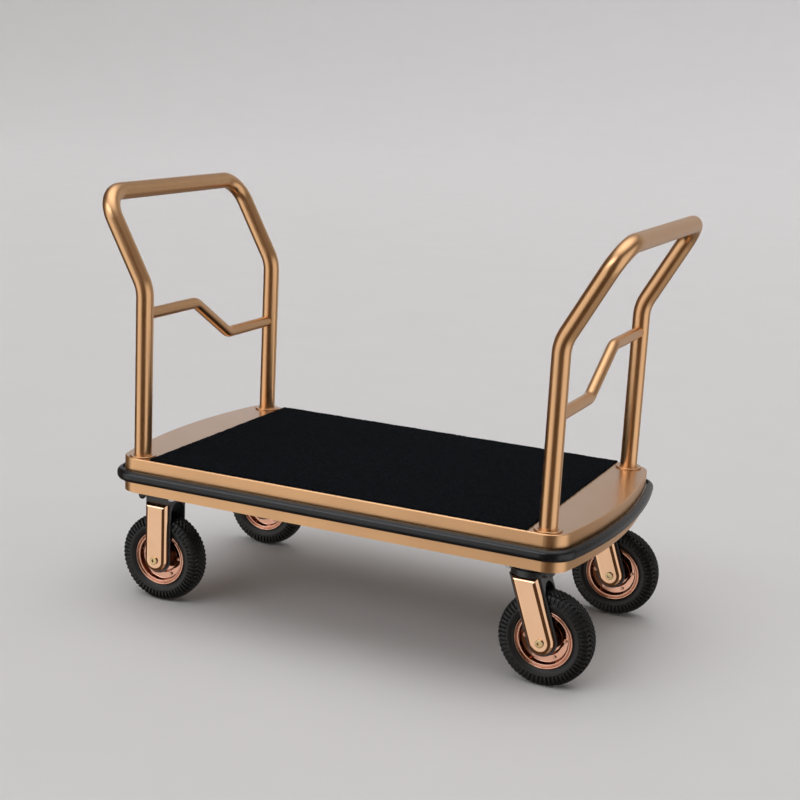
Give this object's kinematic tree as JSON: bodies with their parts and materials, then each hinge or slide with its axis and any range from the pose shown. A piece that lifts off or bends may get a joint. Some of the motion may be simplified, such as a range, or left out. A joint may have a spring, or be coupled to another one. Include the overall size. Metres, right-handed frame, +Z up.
{
  "type": "hotel luggage cart",
  "caption": "Low hotel luggage cart: carpeted deck in a bronze tray with a rubber bumper, leaning tube hoops with stepped cross bars, rigid and swivel air-tyred casters.",
  "frame": {"origin": "on the floor, under the middle of the deck, at the bottom centre of the cart's box", "axes": "+X along the deck towards the swivel casters, +Y across the deck towards the rear long side, +Z up"},
  "size_m": [1.2026, 0.649, 0.9245],
  "materials": {
    "brushed_bronze": "satin brushed bronze-coloured metal",
    "polished_rose": "polished rose-gold plate",
    "copper_rim": "polished copper plate",
    "black_steel": "semi-gloss black paint",
    "frame_steel": "black powder coat",
    "black_fastener": "black oxide",
    "copper_fastener": "copper-plated bolts",
    "brass_fastener": "brass-plated bolts",
    "zinc_steel": "zinc plate",
    "bearing_steel": "ground steel",
    "hub_steel": "copper-washed turned steel",
    "plywood": "plywood",
    "carpet": "short black pile",
    "bumper_rubber": "matte black rubber",
    "track_aluminium": "mill finish",
    "tyre_rubber": "black tyre rubber",
    "tube_rubber": "black butyl rubber"
  },
  "bodies": {
    "cart_frame": {"axle_rigid_front": "brass_fastener", "axle_rigid_rear": "brass_fastener", "bumper": "bumper_rubber", "bumper_track": "track_aluminium", "carpet": "carpet", "caster_bolts": "zinc_steel", "deck_board": "plywood", "deck_pan": "brushed_bronze", "fork_covers_rigid_front": "polished_rose", "fork_covers_rigid_rear": "polished_rose", "hoop_left": "brushed_bronze", "hoop_right": "brushed_bronze", "midbar_left": "brushed_bronze", "midbar_right": "brushed_bronze", "post_collars": "brushed_bronze", "post_plugs": "zinc_steel", "post_studs": "black_fastener", "rigid_fork_front": "black_steel", "rigid_fork_rear": "black_steel", "swivel_balls_front": "bearing_steel", "swivel_balls_rear": "bearing_steel", "swivel_kingpin_front": "zinc_steel", "swivel_kingpin_rear": "zinc_steel", "swivel_plate_front": "black_steel", "swivel_plate_rear": "black_steel", "underframe": "frame_steel"},
    "swivel_front": {"swivel_fork_front": "black_steel", "fork_covers_swivel_front": "polished_rose", "axle_swivel_front": "brass_fastener"},
    "wheel_rigid_front": {"tyre_rigid_front": "tyre_rubber", "inner_tube_rigid_front": "tube_rubber", "rim_outer_rigid_front": "copper_rim", "rim_inner_rigid_front": "copper_rim", "hub_bearings_rigid_front": "bearing_steel", "hub_rigid_front": "hub_steel", "rim_bolts_rigid_front": "copper_fastener"},
    "wheel_swivel_front": {"tyre_swivel_front": "tyre_rubber", "inner_tube_swivel_front": "tube_rubber", "rim_outer_swivel_front": "copper_rim", "rim_inner_swivel_front": "copper_rim", "hub_bearings_swivel_front": "bearing_steel", "hub_swivel_front": "hub_steel", "rim_bolts_swivel_front": "copper_fastener"},
    "swivel_rear": {"swivel_fork_rear": "black_steel", "fork_covers_swivel_rear": "polished_rose", "axle_swivel_rear": "brass_fastener"},
    "wheel_rigid_rear": {"tyre_rigid_rear": "tyre_rubber", "inner_tube_rigid_rear": "tube_rubber", "rim_outer_rigid_rear": "copper_rim", "rim_inner_rigid_rear": "copper_rim", "hub_bearings_rigid_rear": "bearing_steel", "hub_rigid_rear": "hub_steel", "rim_bolts_rigid_rear": "copper_fastener"},
    "wheel_swivel_rear": {"tyre_swivel_rear": "tyre_rubber", "inner_tube_swivel_rear": "tube_rubber", "rim_outer_swivel_rear": "copper_rim", "rim_inner_swivel_rear": "copper_rim", "hub_bearings_swivel_rear": "bearing_steel", "hub_swivel_rear": "hub_steel", "rim_bolts_swivel_rear": "copper_fastener"}
  },
  "joints": [
    {"name": "swivel_turn_front", "type": "hinge", "parent": "cart_frame", "child": "swivel_front", "pos_m": [0.435, -0.235, 0.245], "axis": [0, 0, 1], "continuous": true},
    {"name": "rigid_wheel_spin_front", "type": "hinge", "parent": "cart_frame", "child": "wheel_rigid_front", "pos_m": [-0.438, -0.235, 0.1], "axis": [0, 1, 0], "continuous": true},
    {"name": "swivel_wheel_spin_front", "type": "hinge", "parent": "swivel_front", "child": "wheel_swivel_front", "pos_m": [0.474, -0.235, 0.1], "axis": [0, 1, 0], "continuous": true},
    {"name": "swivel_turn_rear", "type": "hinge", "parent": "cart_frame", "child": "swivel_rear", "pos_m": [0.435, 0.235, 0.245], "axis": [0, 0, 1], "continuous": true},
    {"name": "rigid_wheel_spin_rear", "type": "hinge", "parent": "cart_frame", "child": "wheel_rigid_rear", "pos_m": [-0.438, 0.235, 0.1], "axis": [0, 1, 0], "continuous": true},
    {"name": "swivel_wheel_spin_rear", "type": "hinge", "parent": "swivel_rear", "child": "wheel_swivel_rear", "pos_m": [0.474, 0.235, 0.1], "axis": [0, 1, 0], "continuous": true}
  ]
}
